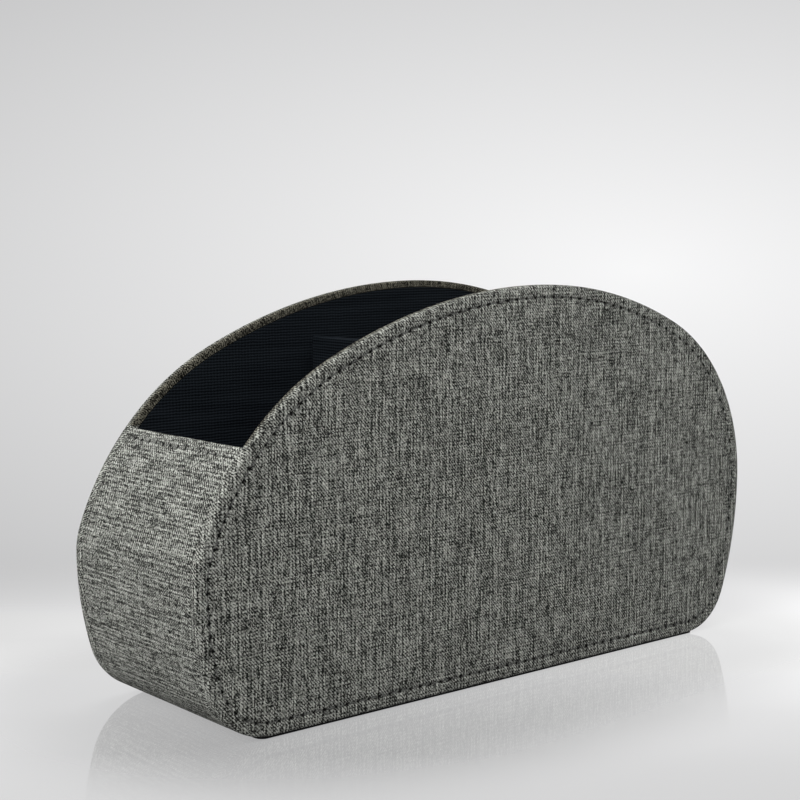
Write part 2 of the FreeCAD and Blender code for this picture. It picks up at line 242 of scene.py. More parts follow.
def soft_lamp(name, place, aim, across, watts):
    """A round lamp that looks from its place at a point and doesn't show in the floor."""
    bpy.ops.object.light_add(type='AREA', location=place)
    lamp = bpy.context.object
    lamp.name = name
    lamp.data.shape = 'DISK'
    lamp.data.size = across
    lamp.data.energy = watts
    lamp.rotation_euler = (Vector(aim) - Vector(place)).to_track_quat('-Z', 'Y').to_euler()
    lamp.visible_glossy = False


soft_lamp("low_end_lamp", (-1.4, -0.40, 0.95), (0, 0, 0.06), 0.9, 33)
soft_lamp("rear_lamp", (0.20, 0.60, 1.20), (0, 0, 0.06), 0.9, 18)
soft_lamp("front_lamp", (0.03, -0.27, 0.50), (0, -0.03, 0.09), 0.35, 1.4)


# Camera. It stands where the photograph was taken from: a little above the holder, off its
# front left corner.

CAMERA_PLACE = (-0.3502, -0.3983, 0.1465)
LOOKS_DOWN = 6.051
LOOKS_FROM_X = 50.07
LENS = 70.33

bpy.ops.object.camera_add(location=CAMERA_PLACE)
camera = bpy.context.object
camera.rotation_euler = (math.radians(90 - LOOKS_DOWN), 0, math.radians(LOOKS_FROM_X - 90))
camera.data.lens = LENS
camera.data.sensor_width = 36
camera.data.clip_start = 0.01
camera.data.clip_end = 20
bpy.context.scene.camera = camera
bpy.context.scene.view_settings.view_transform = 'Standard'


# Front panel cover. One piece of heathered grey cloth, stretched over the egg-shaped board,
# turned round its rim and a little way down the inside, and sewn through near the edge.

OUTLINE = {"length": 240, "height": 129.2, "peak": 136.5, "low_widest": 47.2, "high_widest": 55.8,
           "toe": 20.5, "high_side": 120, "low_shoulder": 24.5, "low_side": 111, "heel": 22.5}
HIGH_SHOULDER_TURN = math.radians(65)
CROWN_TURN = math.radians(26)
LOW_SHOULDER_TURN = math.radians(19)
FOOT = 0.8
PANEL_OUTSIDE = 34.5
PANEL_INSIDE = 30.9
RIM_TURN = 2.2
OUTER_ROUND = 0.9
INNER_ROUND = 0.8
OPEN_ABOVE = 86.5
COVER_CLOTH = 0.5
SEAM_INSET = 4.1
SEAM_SUNK = 0.3
SEAM_RINGS = ((2.8, 0), (3.45, 0), (3.7, 0.1), (3.9, 0.24), (SEAM_INSET, SEAM_SUNK), (4.3, 0.24),
              (4.5, 0.1), (4.75, 0), (5.4, 0))
STITCH_PITCH = 4.2
HOLE_DEPTH = 0.55
HOLE_REACH = 0.75
GROOVE_REACH = 0.3
RING_STEP = 0.52


def quarter_radii(across, up, first_turn, second_turn):
    """Radii of two tangent arcs that turn from upright to level and go this far."""
    first_across = math.cos(first_turn) - math.cos(second_turn)
    first_up = math.sin(second_turn) - math.sin(first_turn)
    last_across = math.cos(second_turn)
    last_up = 1 - math.sin(second_turn)
    share = first_across * last_up - first_up * last_across
    return ((across * last_up - up * last_across) / share,
            (up * first_across - across * first_up) / share)


def side_arcs():
    """The side outline as arcs from the toe round to the heel: centre, radius and angles."""
    o = OUTLINE
    high, fall = quarter_radii(o["length"] - o["peak"], o["height"] - o["high_widest"], 0,
                               HIGH_SHOULDER_TURN)
    slope, crown = quarter_radii(
        o["peak"] - o["low_shoulder"] * (1 - math.cos(LOW_SHOULDER_TURN)),
        o["height"] - o["low_widest"] - o["low_shoulder"] * math.sin(LOW_SHOULDER_TURN),
        LOW_SHOULDER_TURN, math.pi / 2 - CROWN_TURN)
    shoulder = Vector((o["low_shoulder"], o["low_widest"]))
    leaning = Vector((math.cos(LOW_SHOULDER_TURN), -math.sin(LOW_SHOULDER_TURN)))
    high_side = Vector((o["length"] - o["high_side"], o["high_widest"]))
    toe_reach = math.sqrt((o["high_side"] - o["toe"])**2 - (o["high_widest"] - o["toe"])**2)
    toe = Vector((high_side.x + toe_reach, o["toe"]))
    low_side = Vector((o["low_side"], o["low_widest"]))
    heel_reach = math.sqrt((o["low_side"] - o["heel"])**2 - (o["low_widest"] - o["heel"])**2)
    heel = Vector((low_side.x - heel_reach, o["heel"]))
    to_toe, to_heel = toe - high_side, heel - low_side
    turns = [-math.pi / 2, math.atan2(to_toe.y, to_toe.x), 0, HIGH_SHOULDER_TURN, math.pi / 2,
             math.pi / 2 + CROWN_TURN, math.pi - LOW_SHOULDER_TURN, math.pi,
             2 * math.pi + math.atan2(to_heel.y, to_heel.x), 1.5 * math.pi]
    centres = [toe, high_side, Vector((o["length"] - high, o["high_widest"])),
               Vector((o["peak"], o["height"] - fall)), Vector((o["peak"], o["height"] - crown)),
               shoulder + leaning * (slope - o["low_shoulder"]), shoulder, low_side, heel]
    radii = [o["toe"], o["high_side"], high, fall, crown, slope, o["low_shoulder"],
             o["low_side"], o["heel"]]
    return list(zip(centres, radii, turns, turns[1:]))


ARCS = side_arcs()
FLAT_FROM = ARCS[-1][0].x
FLAT_TO = ARCS[0][0].x


def holder_point(across, depth, up):
    """A point in metres, from millimetres along the outline, across the holder and up."""
    return Vector(((across - OUTLINE["length"] / 2) * MM, depth * MM, (up + FOOT) * MM))


def take_up(piece):
    """Makes a piece the only one that is selected."""
    bpy.ops.object.select_all(action='DESELECT')
    piece.select_set(True)
    bpy.context.view_layer.objects.active = piece


def start_edge(across, depth, up):
    """A new mesh of one vertex, in edit mode."""
    bpy.ops.object.select_all(action='DESELECT')
    bpy.ops.mesh.primitive_plane_add(size=MM)
    bpy.ops.object.mode_set(mode='EDIT')
    bpy.ops.mesh.select_mode(type='VERT')
    bpy.ops.mesh.select_all(action='SELECT')
    bpy.ops.mesh.merge(type='CENTER')
    bpy.ops.transform.translate(value=holder_point(across, depth, up))
    return bpy.context.object


def draw_line(across, up, steps=1):
    """Extrudes the drawn end by this much in the side view, in even steps."""
    for _ in range(steps):
        bpy.ops.mesh.extrude_region_move(TRANSFORM_OT_translate={
            "value": (across * MM / steps, 0, up * MM / steps)})


def draw_arc(centre, radius, first, last, step=RING_STEP):
    """Spins the drawn end round a centre in the side view, from one angle to another."""
    steps = max(2, round(abs(last - first) * radius / step))
    bpy.ops.mesh.spin(steps=steps, angle=last - first, axis=(0, 1, 0),
                      center=holder_point(centre.x, 0, centre.y))


def draw_egg(inset, depth, step=RING_STEP):
    """The closed side outline, drawn inwards by an inset and filled, in edit mode."""
    egg = start_edge(FLAT_FROM, depth, inset)
    draw_line(FLAT_TO - FLAT_FROM, 0, round((FLAT_TO - FLAT_FROM) / step))
    for centre, radius, first, last in ARCS:
        draw_arc(centre, radius - inset, first, last, step)
    bpy.ops.mesh.select_all(action='SELECT')
    bpy.ops.mesh.remove_doubles(threshold=0.1 * MM)
    bpy.ops.mesh.edge_face_add()
    return egg


def pick(piece, kind, test):
    """Selects only the vertices, edges or faces of the edited piece that pass a test."""
    bpy.ops.mesh.select_mode(type=kind)
    bpy.ops.mesh.select_all(action='DESELECT')
    sheet = bmesh.from_edit_mesh(piece.data)
    for part in {'VERT': sheet.verts, 'EDGE': sheet.edges, 'FACE': sheet.faces}[kind]:
        if test(part):
            part.select_set(True)
    sheet.select_flush_mode()
    bmesh.update_edit_mesh(piece.data)


def egg_ring(depth):
    """A test for the outline's own edges, at this depth across the holder."""
    return lambda edge: all(abs(v.co.y - depth * MM) < 0.01 * MM for v in edge.verts)


def egg_face(depth):
    """A test for the one large face at this depth across the holder."""
    return lambda face: (len(face.verts) > 100
                         and abs(face.calc_center_median().y - depth * MM) < 0.05 * MM)


def rim_spot(place):
    """How far in from the outline a point lies, in millimetres, and which way is outwards."""
    across = place.x / MM + OUTLINE["length"] / 2
    up = place.z / MM - FOOT
    best = (up, Vector((0, -1))) if FLAT_FROM <= across <= FLAT_TO else (1e9, None)
    for centre, radius, first, last in ARCS:
        spoke = Vector((across, up)) - centre
        angle = math.atan2(spoke.y, spoke.x)
        if angle < first - 1e-6:
            angle += 2 * math.pi
        if angle <= last + 1e-6 and radius - spoke.length < best[0]:
            best = (radius - spoke.length, spoke.normalized())
    return best


def walk_seam(inset, pitch, shift=0):
    """Even places round the outline, this far in from it, each with its heading."""
    runs = [(arc, (arc[1] - inset) * (arc[3] - arc[2])) for arc in ARCS]
    runs.append((None, FLAT_TO - FLAT_FROM))
    around = sum(reach for _, reach in runs)
    count = round(around / pitch)
    for number in range(count):
        left = (number + shift) * around / count
        for arc, reach in runs:
            if left <= reach:
                break
            left -= reach
        if arc is None:
            yield Vector((FLAT_FROM + left, inset)), 0
        else:
            centre, radius, first, last = arc
            angle = first + left / (radius - inset)
            out = Vector((math.cos(angle), math.sin(angle)))
            yield centre + out * (radius - inset), angle + math.pi / 2


def prick(piece, holes, depth, push, groove=lambda place: False):
    """Pushes the nearest point to each needle hole into the cloth, and marks the holes and
    the groove that the thread pulls, for painted shade in the cloth's colour."""
    bpy.ops.object.mode_set(mode='OBJECT')
    mesh = piece.data
    tree = KDTree(len(mesh.vertices))
    for vertex in mesh.vertices:
        tree.insert(vertex.co, vertex.index)
    tree.balance()
    marks = mesh.attributes.new("painted_seam_shade", 'FLOAT', 'POINT')
    for vertex in mesh.vertices:
        marks.data[vertex.index].value = 0.25 if groove(vertex.co) else 0
    for hole in holes:
        for _, index, away in tree.find_range(hole, HOLE_REACH * MM):
            marks.data[index].value = 1 - 0.7 * away / (HOLE_REACH * MM)
        mesh.vertices[tree.find(hole)[1]].co += push * depth * MM


def settle(piece, name, slot, *nodes):
    """Names a finished piece, smooths it and puts it in the place of its CAD nodes."""
    bpy.ops.object.mode_set(mode='OBJECT')
    piece.name = name
    take_up(piece)
    bpy.ops.object.shade_smooth_by_angle(angle=math.radians(50))
    bpy.ops.object.transform_apply(location=True, rotation=True, scale=True)
    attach(piece, "root")
    if nodes:
        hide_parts(*nodes)


def thicken(piece, cloth):
    """Gives the cloth its thickness, inwards from the side that shows."""
    bpy.ops.object.mode_set(mode='OBJECT')
    bpy.context.view_layer.objects.active = piece
    wall = piece.modifiers.new("cloth", 'SOLIDIFY')
    wall.thickness = cloth * MM
    wall.offset = -1
    wall.use_even_offset = False
    bpy.ops.object.modifier_apply(modifier=wall.name)


front_cover = draw_egg(0, -PANEL_OUTSIDE)
bpy.ops.mesh.extrude_region_move(TRANSFORM_OT_translate={
    "value": (0, (PANEL_OUTSIDE - PANEL_INSIDE) * MM, 0)})
bpy.ops.mesh.select_all(action='SELECT')
bpy.ops.mesh.normals_make_consistent(inside=False)
pick(front_cover, 'EDGE', egg_ring(-PANEL_OUTSIDE))
bpy.ops.mesh.bevel(offset=OUTER_ROUND * MM, segments=4, affect='EDGES')
pick(front_cover, 'EDGE', egg_ring(-PANEL_INSIDE))
bpy.ops.mesh.bevel(offset=INNER_ROUND * MM, segments=3, affect='EDGES')
pick(front_cover, 'FACE', egg_face(-PANEL_INSIDE))
bpy.ops.mesh.inset(thickness=(RIM_TURN - INNER_ROUND) * MM)
bpy.ops.mesh.delete(type='FACE')
pick(front_cover, 'FACE', egg_face(-PANEL_OUTSIDE))
reached, sunk = OUTER_ROUND, 0
for inset, depth in SEAM_RINGS:
    bpy.ops.mesh.inset(thickness=(inset - reached) * MM, depth=(sunk - depth) * MM)
    reached, sunk = inset, depth


def lay_panel_cloth(piece):
    """Writes where each point of a front cover lies on the flat cloth, in decimetres, and how
    far it has turned in over the open rim, which sets painted shade that darkens it inwards."""
    spots = []
    rim_shade = piece.data.attributes.new("painted_rim_shade", 'FLOAT', 'POINT')
    for vertex in piece.data.vertices:
        inset, out = rim_spot(vertex.co)
        depth = vertex.co.y / MM + PANEL_OUTSIDE
        turned_in = depth / (PANEL_OUTSIDE - PANEL_INSIDE)
        # Painted shade: the share of the darker rim grey rises towards the inner face, on the
        # open upper rim only.
        rim_shade.data[vertex.index].value = turned_in if vertex.co.z > OPEN_ABOVE * MM else 0
        spot = Vector((vertex.co.x / MM, vertex.co.z / MM))
        if inset < OUTER_ROUND + 1e-3 or depth > 1:
            if depth < OUTER_ROUND:
                turned = OUTER_ROUND * math.atan2(OUTER_ROUND - inset, OUTER_ROUND - depth)
            else:
                turned = OUTER_ROUND * math.pi / 2 + depth - OUTER_ROUND + inset
            spot += out * (turned - OUTER_ROUND + inset)
        spots.append(spot / 100)
    cloth = piece.data.uv_layers.new(name="flat_cloth")
    for loop in piece.data.loops:
        cloth.data[loop.index].uv = spots[loop.vertex_index]


bpy.ops.object.mode_set(mode='OBJECT')
lay_panel_cloth(front_cover)
prick(front_cover, [holder_point(spot.x, SEAM_SUNK - PANEL_OUTSIDE, spot.y)
                    for spot, _ in walk_seam(SEAM_INSET, STITCH_PITCH)],
      HOLE_DEPTH - SEAM_SUNK, Vector((0, 1, 0)),
      lambda place: place.y < (OUTER_ROUND - PANEL_OUTSIDE) * MM
      and abs(rim_spot(place)[0] - SEAM_INSET) < GROOVE_REACH)


# Heathered cloth. A fine twill of light and dark grey yarns, about three to a millimetre. It has
# a close diagonal, its yarns change their tone along their length, so that short streaks show
# up the cloth, and painted shade makes it darker and warmer where it is turned in over the open
# rims.

WARP_PITCH = 0.35
WEFT_PITCH = 0.39
CLOTH_GREY = (0.1110, 0.1135, 0.1035, 1)
# Painted shade: the darker, warmer grey of the cloth turned in over the open rims.
RIM_SHADE_GREY = (0.0400, 0.0380, 0.0300, 1)
DIAGONAL = 0.85
WARP_PAIRS = {"width": 0.68, "length": 3.6, "draw": 8.0, "tone": 0.44}
WEFT_PAIRS = {"width": 0.55, "length": 2.8, "draw": 9.0, "tone": 0.34}
FLOATS = {"width": 0.37, "length": 0.33, "tone": 1.05}
SHORT_STREAKS = {"width": 0.37, "length": 2.40, "tone": 0.55}
LONG_STREAKS = {"width": 0.48, "length": 11.0, "tone": 0.50}
CROSS_STREAKS = {"width": 0.42, "length": 5.00, "tone": 0.30}
DARKEST = 0.08
YARN_RELIEF = 0.06


class ClothWiring(Wiring):
    """Adds what cloths need: places on the flat cloth, yarns and their relief."""

    def cloud(self, vector, scale, detail=2.0, rough=0.5):
        """Smooth noise from 0 to 1."""
        node = self.nodes.new("ShaderNodeTexNoise")
        self.put(node.inputs["Vector"], vector)
        node.inputs["Scale"].default_value = scale
        node.inputs["Detail"].default_value = detail
        node.inputs["Roughness"].default_value = rough
        return node.outputs["Fac"]

    def lot(self, x, y, z):
        """A number from 0 to 1 drawn by lot for a place."""
        node = self.nodes.new("ShaderNodeTexWhiteNoise")
        self.put(node.inputs["Vector"], self.point(x, y, z))
        return node.outputs["Value"]

    def yarn_tones(self, across, run, width, length, tone):
        """Tones from -tone to tone for lengths of yarn that lie side by side, each row of them
        cut at places of its own. Yarns of another length draw other lots."""
        row = self.math('FLOOR', self.math('DIVIDE', across, width))
        cut = self.math('ADD', self.math('DIVIDE', run, length), self.lot(row, 0.5, length))
        share = self.lot(row, self.math('FLOOR', cut), length + 0.5)
        return self.spread(share, 0.2, 0.8, -tone, tone)

    def yarn_pairs(self, across, run, width, length, draw, tone):
        """Light and dark yarns by turns, each pair stronger in some lengths than in others.
        Yarns with another draw have other lots."""
        pair = self.math('DIVIDE', across, 2 * width)
        wave = self.math('COSINE', self.math('MULTIPLY', pair, 2 * math.pi))
        row = self.math('FLOOR', self.math('ADD', pair, 0.5))
        cut = self.math('ADD', self.math('DIVIDE', run, length), self.lot(row, 0.7, draw))
        share = self.lot(row, self.math('FLOOR', cut), draw + 0.3)
        return self.math('MULTIPLY', wave, self.spread(share, 0.0, 1.0, 0.1 * tone, 1.6 * tone))

    def raise_by(self, height, relief):
        """Bump of this many millimetres for a height from 0 to 1."""
        node = self.nodes.new("ShaderNodeBump")
        node.inputs["Distance"].default_value = relief * MM
        node.inputs["Strength"].default_value = 1
        self.put(node.inputs["Height"], height)
        self.links.new(node.outputs[0], self.surface.inputs["Normal"])

    def cloth_place(self, name):
        """The place on the flat cloth, in millimetres."""
        node = self.nodes.new("ShaderNodeUVMap")
        node.uv_map = name
        large = self.nodes.new("ShaderNodeVectorMath")
        large.operation = 'SCALE'
        large.inputs["Scale"].default_value = 100
        self.links.new(node.outputs[0], large.inputs[0])
        return large.outputs[0]


def weave_cloth():
    """The heathered grey cloth."""
    w = ClothWiring("heathered_grey_cloth", 0.95)
    place = w.cloth_place("flat_cloth")
    x, y, _ = w.split(place)
    sway = w.math('MULTIPLY', w.cloud(place, 0.22, 2), 2.0)
    bow = w.math('MULTIPLY', w.cloud(w.point(y, x, 7.0), 0.22, 2), 2.0)
    a = w.math('ADD', w.math('DIVIDE', x, WARP_PITCH), sway)
    b = w.math('ADD', w.math('DIVIDE', y, WEFT_PITCH), bow)
    side = w.math('SUBTRACT', w.math('FRACT', a), 0.5)
    along = w.math('SUBTRACT', w.math('FRACT', b), 0.5)
    slant = w.math('DIVIDE', w.math('ADD', a, b), 3.0)
    twill = w.math('COSINE', w.math('MULTIPLY', slant, 2 * math.pi))
    row = w.math('FLOOR', w.math('ADD', slant, 0.5))
    strength = w.cloud(w.point(w.math('MULTIPLY', x, 0.7), w.math('MULTIPLY', row, 7.31), 9.0),
                       1.0, 0)
    twill = w.math('MULTIPLY', twill, w.spread(strength, 0.25, 0.75, 0.2, 1.8))
    up = w.math('MULTIPLY', b, WEFT_PITCH)
    right = w.math('MULTIPLY', a, WARP_PITCH)
    tone = w.math('ADD', 1.0, w.math('MULTIPLY', twill, DIAGONAL))
    tone = w.math('ADD', tone, w.yarn_pairs(right, up, **WARP_PAIRS))
    tone = w.math('ADD', tone, w.yarn_pairs(up, right, **WEFT_PAIRS))
    for yarns in (FLOATS, SHORT_STREAKS, LONG_STREAKS):
        tone = w.math('ADD', tone, w.yarn_tones(right, up, **yarns))
    tone = w.math('ADD', tone, w.yarn_tones(up, right, **CROSS_STREAKS))
    tone = w.math('MAXIMUM', tone, DARKEST)

    # Painted shade: each yarn's tone darkens towards its edges, in the gaps between yarns; the
    # same domes also give the bump.
    dome = w.math('MULTIPLY', w.math('COSINE', w.math('MULTIPLY', side, 2.7)),
                  w.math('COSINE', w.math('MULTIPLY', along, 2.7)))
    tone = w.math('MULTIPLY', tone, w.spread(dome, 0.1, 0.6, 0.85, 1.05))
    # Painted shade: the needle holes go nearly black and the seam groove a little darker.
    hole = w.nodes.new("ShaderNodeAttribute")
    hole.attribute_name = "painted_seam_shade"
    tone = w.math('MULTIPLY', tone, w.spread(hole.outputs["Fac"], 0.1, 0.62, 1.0, 0.03))
    # Painted shade: the cloth turned in over the open rims is blended towards the darker rim
    # grey.
    rim_shade = w.nodes.new("ShaderNodeAttribute")
    rim_shade.attribute_name = "painted_rim_shade"
    cloth = w.blend(w.spread(rim_shade.outputs["Fac"], 0.05, 0.8), CLOTH_GREY, RIM_SHADE_GREY)
    w.put(w.surface.inputs["Base Color"],
          w.blend(1.0, cloth, w.point(tone, tone, tone), 'MULTIPLY'))
    w.raise_by(dome, YARN_RELIEF)
    return w.material


def twin(piece):
    """A second piece like this one, in the same place."""
    take_up(piece)
    bpy.ops.object.duplicate()
    return bpy.context.object


grey_cloth = weave_cloth()
front_cover.data.materials.append(grey_cloth)
rear_cover = twin(front_cover)
thicken(front_cover, COVER_CLOTH)
settle(front_cover, "front_panel_cloth", "grey_cloth", "front_panel_cover")


# Seam round the front panel. A row of lockstitches in grey thread, pulled into the cloth.
# One stitch is bent down into its needle holes and copied along the seam.

THREAD = 0.17
THREAD_DARK = (0.055, 0.056, 0.053, 1)
THREAD_LIGHT = (0.15, 0.152, 0.145, 1)
STITCH_GAP = 1.0


def twisted_thread():
    """Grey sewing thread with its twist."""
    w = ClothWiring("grey_thread", 0.8)
    place = w.nodes.new("ShaderNodeTexCoord").outputs["Object"]
    x, y, z = w.split(place)
    run = w.math('ADD', w.math('ADD', x, y), z)
    twist = w.math('SINE', w.math('MULTIPLY', run, 9000.0))
    fuzz = w.cloud(place, 900.0, 2)
    share = w.spread(w.math('ADD', w.math('MULTIPLY', twist, 0.2), fuzz), 0.2, 0.9)
    w.put(w.surface.inputs["Base Color"], w.blend(share, THREAD_DARK, THREAD_LIGHT))
    w.raise_by(w.math('ADD', twist, fuzz), 0.03)
    return w.material


def one_stitch(reach):
    """A stitch along X, raised towards -Y in the middle, with its ends in their holes."""
    bpy.ops.object.select_all(action='DESELECT')
    bpy.ops.mesh.primitive_cylinder_add(vertices=6, radius=THREAD * MM, depth=reach * MM,
                                        rotation=(0, math.pi / 2, 0))
    stitch = bpy.context.object
    bpy.ops.object.transform_apply(rotation=True)
    bpy.ops.object.mode_set(mode='EDIT')
    pick(stitch, 'EDGE',
         lambda edge: abs(edge.verts[0].co.x - edge.verts[1].co.x) > 0.5 * reach * MM)
    bpy.ops.mesh.subdivide(number_cuts=5)
    for share, sink in ((0.45, 0.42), (0.30, 0.12), (0.1, 0.03)):
        pick(stitch, 'VERT', lambda vertex: abs(vertex.co.x) > share * reach * MM)
        bpy.ops.transform.translate(value=(0, sink * MM, 0))
    bpy.ops.object.mode_set(mode='OBJECT')
    return stitch


def sew(stitch, places, name):
    """Copies the stitch to each place and makes the row one piece."""
    row = []
    for place in places:
        copy = stitch.copy()
        copy.data = stitch.data.copy()
        copy.data.transform(place)
        bpy.context.collection.objects.link(copy)
        row.append(copy)
    bpy.ops.object.select_all(action='DESELECT')
    for copy in row:
        copy.select_set(True)
    bpy.context.view_layer.objects.active = row[0]
    bpy.ops.object.join()
    settle(row[0], name, "grey_cloth")
    return row[0]


grey_thread = twisted_thread()
stitch = one_stitch(STITCH_PITCH - STITCH_GAP)
stitch.data.materials.append(grey_thread)
seam_level = SEAM_SUNK - PANEL_OUTSIDE - THREAD * 0.6
front_seam = sew(stitch, [Matrix.Translation(holder_point(spot.x, seam_level, spot.y))
                          @ Matrix.Rotation(-heading, 4, 'Y')
                          for spot, heading in walk_seam(SEAM_INSET, STITCH_PITCH, 0.5)],
                 "front_panel_seam")


# Rear panel cover and seam. The same as the front ones, turned to face backwards, and cut from
# another place of the same cloth.

REAR_CUT = (3.17, 2.23)


def face_backwards(piece):
    """Mirrors a piece to the other side of the holder and turns its faces out again."""
    take_up(piece)
    bpy.ops.object.mode_set(mode='EDIT')
    bpy.ops.mesh.select_all(action='SELECT')
    bpy.ops.transform.resize(value=(1, -1, 1), center_override=(0, 0, 0))
    bpy.ops.mesh.flip_normals()
    bpy.ops.object.mode_set(mode='OBJECT')


face_backwards(rear_cover)
for corner in rear_cover.data.uv_layers["flat_cloth"].data:
    corner.uv = (corner.uv[0] + REAR_CUT[0], corner.uv[1] + REAR_CUT[1])
thicken(rear_cover, COVER_CLOTH)
settle(rear_cover, "rear_panel_cloth", "grey_cloth", "rear_panel_cover")
rear_seam = twin(front_seam)
face_backwards(rear_seam)
settle(rear_seam, "rear_panel_seam", "grey_cloth")


# End cover. One strip of the same grey cloth between the panels, up over the low end, round
# under the floor and up the high end. At both mouths it is folded over the board and sewn.

LOW_MOUTH = math.radians(139.5)
HIGH_MOUTH = math.radians(27.9)
END_WALL = 3.2
MOUTH_ROUND = 1.2
MOUTH_TURN = 9
FINE_EDGE = 6
END_CLOTH = 0.5
MOUTH_SEAM = 3.9
MOUTH_GROOVE = ((3.4, 0.08), (3.65, 0.22), (3.9, 0.3), (4.15, 0.22), (4.4, 0.08))
ROWS_ACROSS = 96
ROW_REACH = 0.115
SIDE_TURN = ((1.0, 0.1), (0.3, 0.4))
HOLES_ACROSS = 15
MOUTH_HOLE_DEPTH = 0.25
STITCH_LIFT = 0.1
EDGE_STEP = 1.6
UNDER_STEP = 1.4
low_centre, low_radius, _, low_end = ARCS[5]
high_centre, high_radius, high_start, _ = ARCS[2]
MOUTHS = ((low_centre, low_radius, LOW_MOUTH, 1), (high_centre, high_radius, HIGH_MOUTH, -1))


def swing(centre, radius, angle):
    """The point at this radius and angle from a centre in the side view."""
    return centre + Vector((math.cos(angle), math.sin(angle))) * radius


def draw_mouth(centre, radius, mouth, turn):
    """The folded edge of the strip from its cut edge inside over the mouth, or back again."""
    inner = math.asin(MOUTH_ROUND / (radius - END_WALL + MOUTH_ROUND))
    outer = math.asin(MOUTH_ROUND / (radius - MOUTH_ROUND))
    inner_corner = swing(centre, radius - END_WALL + MOUTH_ROUND, mouth + turn * inner)
    outer_corner = swing(centre, radius - MOUTH_ROUND, mouth + turn * outer)
    flat = abs((inner_corner - centre).dot(swing(Vector((0, 0)), 1, mouth))
               - (outer_corner - centre).dot(swing(Vector((0, 0)), 1, mouth)))
    reach = MOUTH_TURN / (radius - END_WALL)
    out = swing(Vector((0, 0)), flat, mouth)
    fine = FINE_EDGE / radius
    if turn > 0:
        draw_arc(centre, radius - END_WALL, mouth + inner + reach, mouth + inner, 1.0)
        draw_arc(inner_corner, MOUTH_ROUND, mouth + inner + math.pi, mouth + 1.5 * math.pi, 0.3)
        draw_line(out.x, out.y, 3)
        draw_arc(outer_corner, MOUTH_ROUND, mouth + 1.5 * math.pi, mouth + outer + 2 * math.pi,
                 0.3)
        draw_arc(centre, radius, mouth + outer, mouth + fine, 0.22)
    else:
        draw_arc(centre, radius, mouth - fine, mouth - outer, 0.22)
        draw_arc(outer_corner, MOUTH_ROUND, mouth - outer, mouth + 0.5 * math.pi, 0.3)
        draw_line(-out.x, -out.y, 3)
        draw_arc(inner_corner, MOUTH_ROUND, mouth + 0.5 * math.pi, mouth - inner + math.pi, 0.3)
        draw_arc(centre, radius - END_WALL, mouth - inner, mouth - inner - reach, 1.0)


def draw_under(first, last, inwards=0):
    """The side outline from an angle in the low end's arc, round under the floor, to an angle in
    the high end's arc, this far inside the outline."""
    draw_arc(low_centre, low_radius - inwards, first, low_end, EDGE_STEP)
    for centre, radius, start, end in ARCS[6:]:
        draw_arc(centre, radius - inwards, start, end, UNDER_STEP)
    draw_line(FLAT_TO - FLAT_FROM, 0, 24)
    for centre, radius, start, end in ARCS[:2]:
        draw_arc(centre, radius - inwards, start, end, UNDER_STEP)
    draw_arc(high_centre, high_radius - inwards, high_start, last, EDGE_STEP)


def unroll(piece):
    """How far along its line each point of a drawn line lies, in millimetres."""
    line = bmesh.from_edit_mesh(piece.data)
    line.verts.ensure_lookup_table()
    ends = [v for v in line.verts if len(v.link_edges) == 1]
    vertex = max(ends, key=lambda v: (v.co.x < 0, v.co.z))
    spots, reached, edge = {}, 0.0, None
    while True:
        spots[(vertex.co.x, vertex.co.z)] = reached
        onward = [e for e in vertex.link_edges if e is not edge]
        if not onward:
            return spots
        edge = onward[0]
        reached += edge.calc_length() / MM
        vertex = edge.other_vert(vertex)


def run_across(line, steps, reach):
    """Extrudes a drawn line across the holder, this far to both sides, in even steps. Gives
    back where the line's points lie along it."""
    bpy.ops.mesh.select_all(action='SELECT')
    bpy.ops.mesh.remove_doubles(threshold=0.02 * MM)
    spots = unroll(line)
    bpy.ops.mesh.select_all(action='SELECT')
    for _ in range(steps):
        bpy.ops.mesh.extrude_region_move(TRANSFORM_OT_translate={
            "value": (0, 2 * reach * MM / steps, 0)})
    return spots


def lay_strip_cloth(piece, spots, name):
    """Writes where each point of a strip lies on the flat cloth, in decimetres."""
    bpy.ops.object.mode_set(mode='OBJECT')
    cloth = piece.data.uv_layers.new(name=name)
    for loop in piece.data.loops:
        place = piece.data.vertices[loop.vertex_index].co
        cloth.data[loop.index].uv = (spots[(place.x, place.z)] / 100, place.y / MM / 100)


start = swing(low_centre, low_radius - END_WALL,
              LOW_MOUTH + math.asin(MOUTH_ROUND / (low_radius - END_WALL + MOUTH_ROUND))
              + MOUTH_TURN / (low_radius - END_WALL))
end_cover = start_edge(start.x, -PANEL_INSIDE, start.y)
draw_mouth(*MOUTHS[0])
draw_under(LOW_MOUTH + FINE_EDGE / low_radius, HIGH_MOUTH - FINE_EDGE / high_radius)
draw_mouth(*MOUTHS[1])
strip_spots = run_across(end_cover, ROWS_ACROSS, PANEL_INSIDE)
bpy.ops.mesh.select_all(action='SELECT')
bpy.ops.mesh.normals_make_consistent(inside=False)
lay_strip_cloth(end_cover, strip_spots, "flat_cloth")
bpy.ops.object.mode_set(mode='EDIT')
for distance, depth in MOUTH_GROOVE:
    for centre, radius, mouth, turn in MOUTHS:
        row = swing(centre, radius, mouth + turn * distance / radius)
        level = holder_point(row.x, 0, row.y)
        pick(end_cover, 'VERT', lambda vertex: math.hypot(vertex.co.x - level.x,
                                                          vertex.co.z - level.z)
             < ROW_REACH * MM)
        inwards = (centre - row).normalized() * depth * MM
        bpy.ops.transform.translate(value=(inwards.x, 0, inwards.y))
for inset, sink in SIDE_TURN:
    pick(end_cover, 'VERT', lambda vertex: abs(vertex.co.y) > (PANEL_INSIDE - inset) * MM)
    bpy.ops.transform.shrink_fatten(value=-sink * MM)

